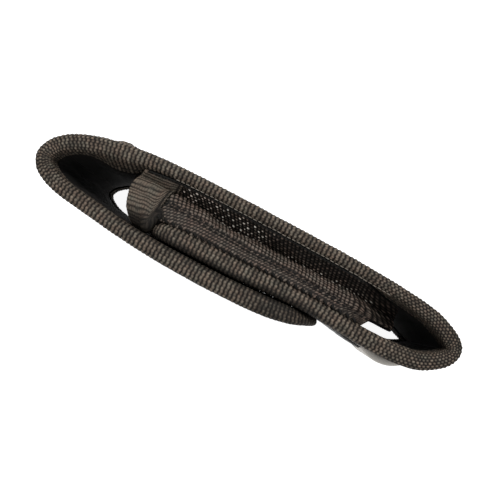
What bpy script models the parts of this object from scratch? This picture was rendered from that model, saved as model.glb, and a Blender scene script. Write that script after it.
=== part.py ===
"""A padded belt sheath with a wrap-over flap.

One padded band runs from the mouth down the front, round the closed bottom, up the back,
over the crown and down again as the flap. Each layer of the band is its own solid, and so
are the edge tapes, the folded side gussets, the belt loop and the hook-and-loop patches.
The sheath lies on its left side edge: +X runs towards the closed bottom, +Y towards the
belt side and +Z across its width. All sizes below are in millimetres.
"""

import math

import bmesh
import bpy
from mathutils import Vector

MM = 0.001

WIDTH = 56.0
CORNER_RADIUS = 10.0
# The middle of the finished outline, which stands over the origin.
OUTLINE_MIDDLE = (0.22, 0.185)
TAPE = 0.6
TAPE_WIDTH = 8.5
TAPE_BEND = 0.5
CLOTH = 0.45
GAP = 0.2
JOINT_GAP = 0.3

# The band's outer face and its thickness there: x, y, thickness, from mouth to flap tip.
BAND = [
    (-30.0, -7.9, 5.0),
    (-20.0, -8.3, 5.3),
    (0.0, -9.0, 5.4),
    (14.0, -8.9, 5.0),
    (26.0, -9.3, 4.7),
    (40.0, -10.8, 4.9),
    (50.0, -11.4, 5.4),
    (57.5, -10.5, 5.2),
    (62.4, -8.3, 4.9),
    (65.6, -5.7, 4.8),
    (67.3, -2.6, 4.4),
    (67.2, 0.3, 4.4),
    (65.5, 2.8, 4.4),
    (62.0, 5.1, 4.5),
    (56.0, 7.4, 4.2),
    (44.0, 9.4, 3.9),
    (28.0, 10.9, 3.8),
    (0.0, 12.5, 3.8),
    (-24.0, 13.5, 3.9),
    (-36.0, 13.4, 4.3),
    (-44.0, 12.8, 4.7),
    (-52.0, 11.6, 4.9),
    (-59.0, 9.3, 5.0),
    (-64.2, 5.8, 5.0),
    (-66.7, 1.8, 5.0),
    (-66.8, -1.6, 5.0),
    (-64.4, -5.3, 5.0),
    (-58.5, -8.3, 4.8),
    (-50.0, -10.0, 4.7),
    (-40.0, -11.7, 4.7),
    (-28.0, -13.5, 5.1),
    (-14.0, -14.7, 5.5),
    (2.0, -15.4, 5.8),
    (14.0, -15.1, 5.5),
    (22.0, -14.1, 4.4),
    (29.5, -12.8, 2.8),
]
BOTTOM_POINT = 10
CROWN_POINT = 25

# The left edge of the closed end is pinched towards the front by this much.
PINCH = 3.9
PINCH_X = (8.0, 46.0)
PINCH_Y = (-11.0, 8.5)
PINCH_COLUMNS = 6

SAMPLES_PER_SPAN = 16
LONGEST_STEP = 11.0
SHARPEST_TURN = math.radians(13)

# Where the outer two crown folds cross the back and the flap. The third is on the crown point.
FOLD_BACK_X = -57.0
FOLD_FLAP_X = -58.5
FOLD_BODIES = ("crown_back", "crown_front", "flap")

GUSSET_TOP_X = -37.5
GUSSET_END_FRONT_X = 38.0
GUSSET_END_BACK_X = 42.0
GUSSET_CLOTH = 0.7
GUSSET_SEAM_GAP = 0.6
GUSSET_DEPTH = 6.5
GUSSET_STEPS = 14
GUSSET_TAPE_WIDTH = 8.8
MOUTH_X = -29.0

BELT_LOOP_X = (-47.5, 30.0)
BELT_LOOP_WIDTH = 37.0
BELT_LOOP_CLOTH = 1.0
BELT_LOOP_FOLD = 7.5
BELT_LOOP_BULGE = 0.6
TACK_WIDTH = 29.0
TACK_HEIGHT = 0.5

PATCH_CLOTH = 0.8
LOOP_PATCH_X = (2.0, 43.0)
LOOP_PATCH_WIDTH = 32.0
HOOK_PATCH_X = (2.0, 19.5)
HOOK_PATCH_WIDTH = 30.0
LABEL_X = (44.5, 57.0)
LABEL_WIDTH = 28.0
LABEL_HEIGHT = 2.2

COLOURS = {
    "shell": (0.030, 0.024, 0.020),
    "foam": (0.16, 0.15, 0.14),
    "lining": (0.012, 0.010, 0.009),
    "tape": (0.055, 0.043, 0.035),
    "gusset": (0.040, 0.033, 0.028),
    "webbing": (0.110, 0.095, 0.075),
    "patch": (0.010, 0.010, 0.010),
    "label": (0.42, 0.40, 0.37),
    "thread": (0.020, 0.016, 0.014),
}


def ramp(value, low, high):
    """A smooth rise from 0 at low to 1 at high."""
    share = min(max((value - low) / (high - low), 0.0), 1.0)
    return share * share * (3 - 2 * share)


def smooth_path(points):
    """Points on one smooth curve through the given ones, by Hermite spans on chord length."""
    knots = [Vector(p) for p in points]
    reach = [0.0]
    for a, b in zip(knots, knots[1:]):
        reach.append(reach[-1] + (b.xy - a.xy).length)
    last = len(knots) - 1
    slopes = []
    for i in range(last + 1):
        before, after = max(i - 1, 0), min(i + 1, last)
        slopes.append((knots[after] - knots[before]) / (reach[after] - reach[before]))
    path = [knots[0]]
    for i in range(last):
        span = reach[i + 1] - reach[i]
        for step in range(1, SAMPLES_PER_SPAN + 1):
            t = step / SAMPLES_PER_SPAN
            path.append(
                knots[i] * (2 * t**3 - 3 * t**2 + 1)
                + slopes[i] * (span * (t**3 - 2 * t**2 + t))
                + knots[i + 1] * (3 * t**2 - 2 * t**3)
                + slopes[i + 1] * (span * (t**3 - t**2))
            )
    return path


PATH = smooth_path(BAND)
REACH = [0.0]
for start, end in zip(PATH, PATH[1:]):
    REACH.append(REACH[-1] + (end.xy - start.xy).length)
LENGTH = REACH[-1]
BOTTOM = REACH[BOTTOM_POINT * SAMPLES_PER_SPAN]
CROWN = REACH[CROWN_POINT * SAMPLES_PER_SPAN]


def on_path(s):
    """x, y and thickness of the band at the distance s along its outer face."""
    s = min(max(s, 0.0), LENGTH)
    low, high = 0, len(REACH) - 1
    while high - low > 1:
        middle = (low + high) // 2
        low, high = (middle, high) if REACH[middle] <= s else (low, middle)
    share = (s - REACH[low]) / (REACH[high] - REACH[low])
    return PATH[low].lerp(PATH[high], share)


def heading(s):
    """The unit direction of the band's outer face at s."""
    return (on_path(s + 0.8).xy - on_path(s - 0.8).xy).normalized()


def thickness(s):
    return on_path(s).z


def along(stretch, x):
    """The distance along the band at which its front, back or flap stretch crosses x."""
    low, high = {"front": (0.0, BOTTOM), "back": (BOTTOM, CROWN), "flap": (CROWN, LENGTH)}[stretch]
    rising = on_path(high).x > on_path(low).x
    for _ in range(50):
        middle = (low + high) / 2
        if (on_path(middle).x < x) == rising:
            low = middle
        else:
            high = middle
    return low


def at(s, z, depth):
    """The point at distance s along the band, height z across it and depth under its outer face."""
    base = on_path(s)
    ahead = heading(s)
    pinch = PINCH * ramp(base.x, *PINCH_X) * ramp(base.y, *PINCH_Y) * (1 - z / WIDTH)
    inward = Vector((-ahead.y, ahead.x))
    flat = base.xy + inward * depth
    return Vector((flat.x - OUTLINE_MIDDLE[0], flat.y - pinch - OUTLINE_MIDDLE[1], z))


def band_stations():
    """Distances along the whole band, close together where it bends, which every layer shares."""
    found = [0.0]
    s = 0.0
    while s < LENGTH:
        s += 0.5
        turned = heading(found[-1]).angle(heading(s))
        if turned > SHARPEST_TURN or s - found[-1] > LONGEST_STEP:
            found.append(s)
    return found


STATIONS = band_stations()


def stations(start, end):
    """The shared stations between start and end, with the two ends themselves."""
    return [start] + [s for s in STATIONS if start + 1.0 < s < end - 1.0] + [end]


def even_stations(start, end, step=3.0):
    """Distances from start to end, evenly spaced and close together."""
    count = max(1, round((end - start) / step))
    return [start + (end - start) * i / count for i in range(count + 1)]


def outer_cloth(s):
    """Depth of the outer cloth's outer face, which is the same all along the band."""
    return TAPE + GAP


def inner_cloth(s):
    """Depth of the lining's inner face."""
    return thickness(s) - TAPE - GAP


def corner_margin(distance, inset):
    """How far a layer's side edge lies in from the band's, at that distance from the band's end."""
    if distance >= CORNER_RADIUS:
        return inset
    rest = CORNER_RADIUS - distance
    return CORNER_RADIUS - math.sqrt(max((CORNER_RADIUS - inset) ** 2 - rest**2, 0.0))


def material(kind):
    name = "sheath_" + kind
    if name in bpy.data.materials:
        return bpy.data.materials[name]
    made = bpy.data.materials.new(name)
    made.use_nodes = True
    shader = made.node_tree.nodes["Principled BSDF"]
    shader.inputs["Base Color"].default_value = (*COLOURS[kind], 1.0)
    shader.inputs["Roughness"].default_value = 0.85
    shader.inputs["Metallic"].default_value = 0.0
    return made


class Sheath:
    """The collection that the parts go in, and the hinge empty of each moving body."""

    def __init__(self):
        self.parts = bpy.data.collections.new("belt_sheath")
        bpy.context.scene.collection.children.link(self.parts)
        self.hinges = {}

    def hinge(self, body, parent, s):
        empty = bpy.data.objects.new(body + "_hinge", None)
        empty.empty_display_size = 10 * MM
        place = at(s, WIDTH / 2, 0) * MM
        self.parts.objects.link(empty)
        if parent:
            empty.parent = self.hinges[parent][0]
            empty.location = place - self.hinges[parent][1]
        else:
            empty.location = place
        self.hinges[body] = (empty, place)

    def loft(self, name, rings, kind, body="pouch"):
        """One closed solid through successive rings of points, with flat ends."""
        empty, place = self.hinges.get(body, (None, Vector()))
        bm = bmesh.new()
        rows = [[bm.verts.new(p * MM - place) for p in ring] for ring in rings]
        count = len(rows[0])
        for a, b in zip(rows, rows[1:]):
            for i in range(count):
                j = (i + 1) % count
                bm.faces.new((a[i], a[j], b[j], b[i]))
        bm.faces.new(rows[0])
        bm.faces.new(reversed(rows[-1]))
        bmesh.ops.recalc_face_normals(bm, faces=bm.faces)
        mesh = bpy.data.meshes.new(name)
        bm.to_mesh(mesh)
        bm.free()
        mesh.materials.append(material(kind))
        made = bpy.data.objects.new(name, mesh)
        made.parent = empty
        self.parts.objects.link(made)
        return made


def slab(sheath, name, span, sides, depths, kind, body="pouch", columns=1):
    """A layer over the given stations of the band. sides and depths are functions of s."""
    rings = []
    for s in span:
        low, high = sides(s)
        upper, lower = (depth(s) for depth in depths)
        across = [low + (high - low) * i / columns for i in range(columns + 1)]
        ring = [at(s, z, upper) for z in across]
        rings.append(ring + [at(s, z, lower) for z in reversed(across)])
    return sheath.loft(name, rings, kind, body)


def full_sides(inset):
    """The band's two side edges less an inset, drawn in round the corners of mouth and flap."""

    def sides(s):
        margin = max(corner_margin(s, inset), corner_margin(LENGTH - s, inset))
        return margin, WIDTH - margin

    return sides


def layer_span(start, end, inset):
    """Stations from start to end, with extra ones round a corner at the mouth or the flap tip."""
    start = max(start, inset)
    end = min(end, LENGTH - inset)
    found = stations(start, end)
    for angle in (15, 35, 55, 75):
        inward = CORNER_RADIUS - (CORNER_RADIUS - inset) * math.sin(math.radians(angle))
        for s in (inward, LENGTH - inward):
            if start < s < end:
                found.append(s)
    found.sort()
    kept = [found[0]]
    for s in found[1:-1]:
        if s - kept[-1] > 0.6 and found[-1] - s > 0.6:
            kept.append(s)
    return kept + [found[-1]]


def make_layers(sheath, body, start, end, foam_end=None):
    """Outer cloth, foam and lining of one body's stretch of the band."""
    inset = TAPE + JOINT_GAP
    foam_inset = inset + 1.0
    span = layer_span(start, end, inset)
    outer = (outer_cloth, lambda s: outer_cloth(s) + CLOTH)
    lining = (lambda s: inner_cloth(s) - CLOTH, inner_cloth)
    foam = (lambda s: outer_cloth(s) + CLOTH + GAP, lambda s: inner_cloth(s) - CLOTH - GAP)
    foam_span = layer_span(start, foam_end or end, foam_inset)
    columns = PINCH_COLUMNS if body == "pouch" else 1
    for kind, stops, sides, depths in (
        ("shell", span, full_sides(inset), outer),
        ("foam", foam_span, full_sides(foam_inset), foam),
        ("lining", span, full_sides(inset), lining),
    ):
        slab(sheath, f"{body}_{kind}", stops, sides, depths, kind, body, columns)


def tape_ring(place, inward):
    """The folded tape's section at one place on the band's outline: inward is its unit direction."""
    s, z = place

    def point(reach, depth, from_lining):
        station = s + inward[0] * reach
        if from_lining:
            depth = thickness(station) - depth
        return at(station, z + inward[1] * reach, depth)

    bend = TAPE_BEND + TAPE
    round_out = 0.3 * bend
    round_in = TAPE + 0.3 * TAPE_BEND
    outside = [(TAPE_WIDTH, 0), (bend, 0), (round_out, round_out), (0, bend)]
    inside = [(TAPE_WIDTH, TAPE), (bend, TAPE), (round_in, round_in), (TAPE, bend)]
    ring = [point(*p, False) for p in outside] + [point(*p, True) for p in reversed(outside)]
    ring += [point(*p, True) for p in inside] + [point(*p, False) for p in reversed(inside)]
    return ring


def side_outline(start, end, z, mouth=False, tip=False):
    """Places and inward directions down one side of the band, round a rounded corner if asked."""
    turn = 1 if z == 0 else -1
    radius = CORNER_RADIUS
    straight_start = radius if mouth else start
    straight_end = LENGTH - radius if tip else end
    outline = []
    angles = [math.radians(a) for a in (88, 66, 44, 22)]
    if mouth:
        for a in angles:
            place = (radius - radius * math.sin(a), z + turn * (radius - radius * math.cos(a)))
            outline.append((place, (math.sin(a), turn * math.cos(a))))
    outline += [((s, z), (0, turn)) for s in stations(straight_start, straight_end)]
    if tip:
        for a in reversed(angles):
            place = (LENGTH - radius + radius * math.sin(a), z + turn * (radius - radius * math.cos(a)))
            outline.append((place, (-math.sin(a), turn * math.cos(a))))
    return outline


def make_side_tapes(sheath, body, start, end, **corners):
    for side, z in (("left", 0.0), ("right", WIDTH)):
        rings = [tape_ring(*stop) for stop in side_outline(start, end, z, **corners)]
        sheath.loft(f"{body}_binding_{side}", rings, "tape", body)


def make_end_tape(sheath, name, s, inward, body):
    """The tape over the straight middle of the mouth or of the flap tip."""
    clear = CORNER_RADIUS + JOINT_GAP
    rings = [tape_ring((s, z), (inward, 0)) for z in (clear, WIDTH / 2, WIDTH - clear)]
    sheath.loft(name, rings, "tape", body)


def gusset_section(share, side):
    """The folded section of a side gusset, from back to front, and its normals. share is 0 at the mouth."""
    back_x = GUSSET_TOP_X + share * (GUSSET_END_BACK_X - GUSSET_TOP_X)
    front_x = GUSSET_TOP_X + share * (GUSSET_END_FRONT_X - GUSSET_TOP_X)
    back_s = along("back", back_x)
    front_s = along("front", max(front_x, MOUTH_X))

    def height(below):
        return WIDTH - below if side == "right" else below

    back = at(back_s, height(2.5), thickness(back_s) + GUSSET_SEAM_GAP)
    front = at(front_s, height(2.0), thickness(front_s) + GUSSET_SEAM_GAP)
    front.x += min(front_x - MOUTH_X, 0.0)
    fold_share = 0.12 + 0.3 * ramp(share, 0.0, 0.35)
    fold = back.lerp(front, fold_share)
    fold.z = height(2.2 + GUSSET_DEPTH * (0.55 + 0.45 * ramp(share, 0.0, 0.3)))
    return [back, back.lerp(fold, 0.6), fold, fold.lerp(front, 0.5), front]


def section_normals(points):
    """Unit normals of an open section in the plane across the length, pointing to its first side."""
    found = []
    for i in range(len(points)):
        run = points[min(i + 1, len(points) - 1)] - points[max(i - 1, 0)]
        found.append(Vector((0.0, -run.z, run.y)).normalized())
    return found


def make_gusset(sheath, side):
    rings = []
    for step in range(GUSSET_STEPS + 1):
        points = gusset_section(step / GUSSET_STEPS, side)
        normals = section_normals(points)
        half = GUSSET_CLOTH / 2
        ring = [p + n * half for p, n in zip(points, normals)]
        ring += [p - n * half for p, n in reversed(list(zip(points, normals)))]
        rings.append(ring)
    sheath.loft("gusset_" + side, rings, "gusset")


def between(points, share):
    """The point at that share of the way along a section."""
    place = share * (len(points) - 1)
    low = min(int(place), len(points) - 2)
    return points[low].lerp(points[low + 1], place - low)


def make_gusset_tape(sheath, side):
    """Tape folded over the gusset's top edge, in front of the mouth."""
    top = gusset_section(0.0, side)
    under = gusset_section(GUSSET_TAPE_WIDTH / (GUSSET_END_BACK_X - GUSSET_TOP_X), side)
    inner = GUSSET_CLOTH / 2 + JOINT_GAP
    outer = inner + TAPE
    rings = []
    for share in (0.22, 0.5, 0.84):
        edge, low = between(top, share), between(under, share)
        across = between(top, share + 0.1) - between(top, share - 0.1)
        ahead = (edge - low).normalized()
        around = across.cross(ahead).normalized()
        tip = edge + ahead * GAP
        section = [
            low + around * outer,
            tip + around * outer,
            tip + ahead * TAPE + around * (outer - 0.5 * TAPE),
            tip + ahead * TAPE - around * (outer - 0.5 * TAPE),
            tip - around * outer,
            low - around * outer,
            low - around * inner,
            tip - around * inner,
            tip + around * inner,
            low + around * inner,
        ]
        rings.append(section)
    sheath.loft("gusset_tape_" + side, rings, "tape")


def centred(width):
    """The side edges of a strip that runs along the middle of the band."""
    margin = (WIDTH - width) / 2
    return lambda s: (margin, WIDTH - margin)


def make_belt_loop(sheath):
    """Flat webbing on the back, sewn at both ends, with its top end folded over on itself."""
    sides = centred(BELT_LOOP_WIDTH)
    end, start = (along("back", x) for x in BELT_LOOP_X)
    middle = (start + end) / 2

    def underside(s):
        rise = 1 - abs(s - middle) / (end - middle)
        return outer_cloth(s) - JOINT_GAP - BELT_LOOP_BULGE * ramp(rise, 0.0, 0.3)

    slab(
        sheath,
        "belt_loop",
        even_stations(start, end, 6.0),
        sides,
        (lambda s: underside(s) - BELT_LOOP_CLOTH, underside),
        "webbing",
    )
    fold_lift = BELT_LOOP_CLOTH + GAP
    slab(
        sheath,
        "belt_loop_folded_end",
        [end - BELT_LOOP_FOLD, end - BELT_LOOP_FOLD / 2, end],
        sides,
        (lambda s: underside(s) - BELT_LOOP_CLOTH - fold_lift, lambda s: underside(s) - fold_lift),
        "webbing",
    )


def make_tacks(sheath):
    """Dense bar tacks over both sewn ends of the belt loop, clear of the strap's rise beside them."""
    end, start = (along("back", x) for x in BELT_LOOP_X)
    for name, s, lift in (
        ("belt_loop_tack_top", end - 5.0, 2 * BELT_LOOP_CLOTH + GAP),
        ("belt_loop_tack_bottom", start + 3.0, BELT_LOOP_CLOTH),
    ):
        face = outer_cloth(s) - JOINT_GAP - lift - GAP - BELT_LOOP_BULGE / 2
        depths = (lambda s, f=face: f - TACK_HEIGHT, lambda s, f=face: f)
        slab(sheath, name, [s - 1.0, s + 1.0], centred(TACK_WIDTH), depths, "thread")


def make_patches(sheath):
    """Hook and loop fastener halves, and a blank label on the front."""

    def lift(s):
        return outer_cloth(s) - GAP - 0.9 * ramp(on_path(s).x, 30.0, 43.0)

    loop = even_stations(*(along("front", x) for x in LOOP_PATCH_X))
    depths = (lambda s: lift(s) - PATCH_CLOTH, lift)
    slab(sheath, "loop_patch", loop, centred(LOOP_PATCH_WIDTH), depths, "patch")
    hook = even_stations(*(along("flap", x) for x in HOOK_PATCH_X))
    depths = (lambda s: inner_cloth(s) + GAP, lambda s: inner_cloth(s) + GAP + 0.6)
    slab(sheath, "hook_patch", hook, centred(HOOK_PATCH_WIDTH), depths, "patch", "flap")
    label = even_stations(*(along("front", x) for x in LABEL_X))
    depths = (lambda s: outer_cloth(s) - GAP - LABEL_HEIGHT, lambda s: outer_cloth(s) - GAP)
    slab(sheath, "blank_label", label, centred(LABEL_WIDTH), depths, "label")


def main():
    for obj in list(bpy.data.objects):
        bpy.data.objects.remove(obj)
    sheath = Sheath()
    folds = [along("back", FOLD_BACK_X), CROWN, along("flap", FOLD_FLAP_X)]
    parent = None
    for body, s in zip(FOLD_BODIES, folds):
        sheath.hinge(body, parent, s)
        parent = body
    half = JOINT_GAP / 2
    make_layers(sheath, "pouch", 0.0, folds[0] - half)
    make_side_tapes(sheath, "pouch", 0.0, folds[0] - half, mouth=True)
    make_end_tape(sheath, "mouth_binding", 0.0, 1, "pouch")
    for body, start, end in zip(FOLD_BODIES[:2], folds, folds[1:]):
        make_layers(sheath, body, start + half, end - half)
        make_side_tapes(sheath, body, start + half, end - half)
    foam_end = along("flap", 23.0)
    make_layers(sheath, "flap", folds[2] + half, LENGTH, foam_end)
    make_side_tapes(sheath, "flap", folds[2] + half, LENGTH, tip=True)
    make_end_tape(sheath, "flap_tip_binding", LENGTH, -1, "flap")
    for side in ("left", "right"):
        make_gusset(sheath, side)
        make_gusset_tape(sheath, side)
    make_belt_loop(sheath)
    make_tacks(sheath)
    make_patches(sheath)


main()
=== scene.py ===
"""The looks of the padded belt sheath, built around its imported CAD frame.

Every piece is a mesh laid out on the band: s is the distance along the band's outer face from
the mouth to the flap tip, z the height across it and depth how far under the outer face. All
sizes are in millimetres until a mesh is made.
"""

import math

import bpy
import numpy as np
from mathutils import Matrix, Vector

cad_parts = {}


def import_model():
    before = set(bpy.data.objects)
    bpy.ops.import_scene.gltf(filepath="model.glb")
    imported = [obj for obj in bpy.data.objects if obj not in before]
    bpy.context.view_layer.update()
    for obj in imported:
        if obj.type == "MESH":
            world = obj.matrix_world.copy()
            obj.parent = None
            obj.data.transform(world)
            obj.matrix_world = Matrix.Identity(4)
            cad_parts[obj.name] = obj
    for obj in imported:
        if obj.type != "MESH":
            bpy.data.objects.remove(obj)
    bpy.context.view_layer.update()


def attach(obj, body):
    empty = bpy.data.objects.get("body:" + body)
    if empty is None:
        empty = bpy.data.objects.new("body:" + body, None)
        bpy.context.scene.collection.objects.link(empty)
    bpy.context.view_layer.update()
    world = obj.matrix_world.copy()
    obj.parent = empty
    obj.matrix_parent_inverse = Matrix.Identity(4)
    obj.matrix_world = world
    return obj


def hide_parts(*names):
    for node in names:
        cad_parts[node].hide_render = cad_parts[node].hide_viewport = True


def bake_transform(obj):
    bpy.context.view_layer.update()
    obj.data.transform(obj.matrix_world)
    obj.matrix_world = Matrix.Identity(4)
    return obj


MM = 0.001
WIDTH = 56.0
SIDES = ("left", "right")

# The place on the band's own drawing that stands at the frame's origin.
MIDDLE = (0.22, 0.185)

# The band's outer face and its thickness there: x, y, thickness, from mouth to flap tip.
BAND = [
    (-30.0, -7.9, 5.0),
    (-20.0, -8.3, 5.3),
    (0.0, -9.0, 5.4),
    (14.0, -8.9, 5.0),
    (26.0, -9.3, 4.7),
    (40.0, -10.8, 4.9),
    (50.0, -11.4, 5.4),
    (57.5, -10.5, 5.2),
    (62.4, -8.3, 4.9),
    (65.6, -5.7, 4.8),
    (67.3, -2.6, 4.4),
    (67.2, 0.3, 4.4),
    (65.5, 2.8, 4.4),
    (62.0, 5.1, 4.5),
    (56.0, 7.4, 4.2),
    (44.0, 9.4, 3.9),
    (28.0, 10.9, 3.8),
    (0.0, 12.5, 3.8),
    (-24.0, 13.5, 3.9),
    (-36.0, 13.4, 4.3),
    (-44.0, 12.8, 4.7),
    (-52.0, 11.6, 4.9),
    (-59.0, 9.3, 5.0),
    (-64.2, 5.8, 5.0),
    (-66.7, 1.8, 5.0),
    (-66.8, -1.6, 5.0),
    (-64.4, -5.3, 5.0),
    (-58.5, -8.3, 4.8),
    (-50.0, -10.0, 4.7),
    (-40.0, -11.7, 4.7),
    (-28.0, -13.5, 5.1),
    (-14.0, -14.7, 5.5),
    (2.0, -15.4, 5.8),
    (13.0, -15.2, 5.7),
    (20.0, -14.1, 4.9),
    (25.0, -12.6, 3.5),
    (28.2, -11.4, 2.5),
]
BOTTOM_POINT = 10
CROWN_POINT = 25
SAMPLES_PER_SPAN = 16

# How far the pouch's lower edge is drawn in, and where that sets in and is complete.
PINCH = 3.9
PINCH_X = (8.0, 46.0)
PINCH_Y = (-11.0, 8.5)

# How far the crown's lower edge leans towards the pouch, and where that sets in and is complete.
LEAN = 2.6
LEAN_X = (42.0, 64.0)

TAPE = 0.6
MOUTH_RADIUS = 10.0
TIP_RADIUS = 13.0

# Where the crown begins on the back and ends on the flap, and how its bending is shared out.
FOLD_BACK_X = -57.0
FOLD_FLAP_X = -58.5
SPLIT_SHARE = 0.4
BEND_LENGTH = 11.0
BEND_MARGIN = 0.05


def ramp(value, low, high):
    """Rises smoothly from 0 at low to 1 at high."""
    share = np.clip((value - low) / (high - low), 0.0, 1.0)
    return share * share * (3 - 2 * share)


def hill(value, low, high, fade, end):
    """Rises from 0 at low to 1 at high, and falls from 1 at fade to 0 at end."""
    return ramp(value, low, high) * (1 - ramp(value, fade, end))


def mark(value, middle, width):
    """A narrow bump of height 1 round the middle, as a seam or a groove makes."""
    return np.exp(-(((value - middle) / width) ** 2))


def smooth_path(points):
    """A smooth curve through the points, sampled evenly between each two."""
    knots = np.array(points)
    reach = np.concatenate([[0.0], np.cumsum(np.hypot(*np.diff(knots[:, :2], axis=0).T))])
    after = np.minimum(np.arange(len(knots)) + 1, len(knots) - 1)
    before = np.maximum(np.arange(len(knots)) - 1, 0)
    slopes = (knots[after] - knots[before]) / (reach[after] - reach[before])[:, None]
    t = (np.arange(SAMPLES_PER_SPAN) / SAMPLES_PER_SPAN)[None, :, None]
    span = np.diff(reach)[:, None, None]
    a, b = knots[:-1, None, :], knots[1:, None, :]
    path = a * (2 * t**3 - 3 * t**2 + 1) + slopes[:-1, None, :] * span * (t**3 - 2 * t**2 + t)
    path = path + b * (3 * t**2 - 2 * t**3) + slopes[1:, None, :] * span * (t**3 - t**2)
    return np.concatenate([path.reshape(-1, 3), knots[-1:]])


PATH = smooth_path(BAND)
REACH = np.concatenate([[0.0], np.cumsum(np.hypot(*np.diff(PATH[:, :2], axis=0).T))])
LENGTH = REACH[-1]
BOTTOM = REACH[BOTTOM_POINT * SAMPLES_PER_SPAN]
CROWN = REACH[CROWN_POINT * SAMPLES_PER_SPAN]


def on_path(s, column):
    """The band's x, y or thickness (column 0, 1 or 2) at the distance s."""
    return np.interp(s, REACH, PATH[:, column])


def thickness(s):
    """The band's thickness at the distance s."""
    return on_path(s, 2)


def heading(s):
    """The direction in which the band runs on at s."""
    dx = on_path(s + 0.8, 0) - on_path(s - 0.8, 0)
    dy = on_path(s + 0.8, 1) - on_path(s - 0.8, 1)
    run = np.hypot(dx, dy)
    return dx / run, dy / run


def along(stretch, x):
    """The distance along the band at which its front, back or flap stretch crosses x."""
    low, high = {"front": (0.0, BOTTOM), "back": (BOTTOM, CROWN), "flap": (CROWN, LENGTH)}[stretch]
    s = np.linspace(low, high, 4001)
    return float(s[np.argmin(np.abs(on_path(s, 0) - x))])


def at(s, z, depth):
    """Points at distance s along the band, height z across it and depth under its outer face."""
    s, z, depth = np.broadcast_arrays(*(np.asarray(v, float) for v in (s, z, depth)))
    inside = np.clip(s, 0.0, LENGTH)
    x, y = on_path(inside, 0), on_path(inside, 1)
    ahead_x, ahead_y = heading(inside)
    pinch = PINCH * ramp(x, *PINCH_X) * ramp(y, *PINCH_Y) * (1 - z / WIDTH)
    beyond = s - inside
    x = x + LEAN * ramp(-x, *LEAN_X) * (1 - z / WIDTH)
    x = x + ahead_x * beyond - ahead_y * depth
    y = y + ahead_y * beyond + ahead_x * depth - pinch
    return np.stack([x - MIDDLE[0], y - MIDDLE[1], z], axis=-1)


def flare(s, z):
    """How far the inner face stands out from the band, 8 mm in from its upper edge by the mouth."""
    begins, fades = along("back", -34.0), along("back", -50.0)
    by_mouth = hill(s, begins, begins + 8.0, fades - 4.0, fades + 10.0)
    upper_half = ramp(z, WIDTH * 0.4, WIDTH * 0.65)
    return (0.25 + 1.95 * by_mouth) * around_crown(s, 30.0, 40.0) * upper_half


def around_crown(s, before, after):
    """1 where the band turns over at the crown, fading to 0 some way before and after it."""
    turn_end = CROWN + after
    return hill(s, CROWN - before - 10.0, CROWN - before, turn_end - 14.0, turn_end)


def inner_flange(s):
    """How far in the tape reaches on the inner face: less where it turns the crown."""
    return FLANGE - 3.6 * around_crown(s, 17.0, 40.0)


Q_START = MOUTH_RADIUS * (1 - math.pi / 2) - (WIDTH / 2 - MOUTH_RADIUS)
Q_END = LENGTH - TIP_RADIUS * (1 - math.pi / 2) + (WIDTH / 2 - TIP_RADIUS)


def edge_place(q, side):
    """Where the band's side edge is at the distance q along it: s, z and its inward direction.

    The edge runs from the middle of the mouth, round its corner, along the band and round the
    flap's corner to the middle of the tip. On the straight q equals s.
    """
    q = np.asarray(q, float)
    mouth = np.clip((MOUTH_RADIUS - q) / MOUTH_RADIUS, 0.0, math.pi / 2)
    tip = np.clip((q - LENGTH + TIP_RADIUS) / TIP_RADIUS, 0.0, math.pi / 2)
    mouth_run = np.maximum(MOUTH_RADIUS * (1 - math.pi / 2) - q, 0.0)
    tip_run = np.maximum(q - (LENGTH + TIP_RADIUS * (math.pi / 2 - 1)), 0.0)
    s = np.clip(q, MOUTH_RADIUS, LENGTH - TIP_RADIUS)
    s = s - MOUTH_RADIUS * np.sin(mouth) + TIP_RADIUS * np.sin(tip)
    z = MOUTH_RADIUS * (1 - np.cos(mouth)) + TIP_RADIUS * (1 - np.cos(tip)) + mouth_run + tip_run
    in_s = np.sin(mouth) - np.sin(tip)
    in_z = np.cos(mouth) * np.cos(tip)
    if side == "right":
        z, in_z = WIDTH - z, -in_z
    return s, z, in_s, in_z


def scatter(i, j):
    """A repeatable number from 0 to 1 for each cell."""
    value = np.sin(i * 12.9898 + j * 78.233) * 43758.5453
    return value - np.floor(value)


def swell(x, y, scale, seed=0.0):
    """Soft repeatable unevenness between about -1 and 1."""
    x, y = x / scale, y / scale
    total = np.sin(1.7 * x + 0.9 * y + seed) + np.sin(0.8 * x - 2.1 * y + 2.3 * seed + 1.0)
    total = total + np.sin(2.9 * x + 1.3 * y + 1.1 * seed + 4.0) * 0.6
    return total / 2.6


# ---------------------------------------------------------------- meshes


def mesh_piece(name, points, faces, data=None):
    """A mesh object from points in millimetres, with (along, across, height) for its material."""
    points = np.asarray(points, float).reshape(-1, 3)
    mesh = bpy.data.meshes.new(name)
    mesh.from_pydata((points * MM).tolist(), [], faces)
    if data is not None:
        layer = mesh.attributes.new("cloth", "FLOAT_VECTOR", "POINT")
        layer.data.foreach_set("vector", np.asarray(data, np.float32).reshape(-1))
    mesh.polygons.foreach_set("use_smooth", np.ones(len(mesh.polygons), bool))
    mesh.update()
    made = bpy.data.objects.new(name, mesh)
    bpy.context.scene.collection.objects.link(made)
    return made


def ring_faces(rows, count, base=0):
    """Quads of a closed tube of rings, as index lists, with n-gon ends."""
    i = np.arange(rows - 1)[:, None] * count + base
    j = np.arange(count)[None, :]
    k = (j + 1) % count
    quads = np.stack([i + j, i + k, i + count + k, i + count + j], axis=-1).reshape(-1, 4)
    first = [base + c for c in range(count)]
    last = [base + (rows - 1) * count + c for c in range(count)]
    return quads.tolist() + [first[::-1], last]


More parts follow.
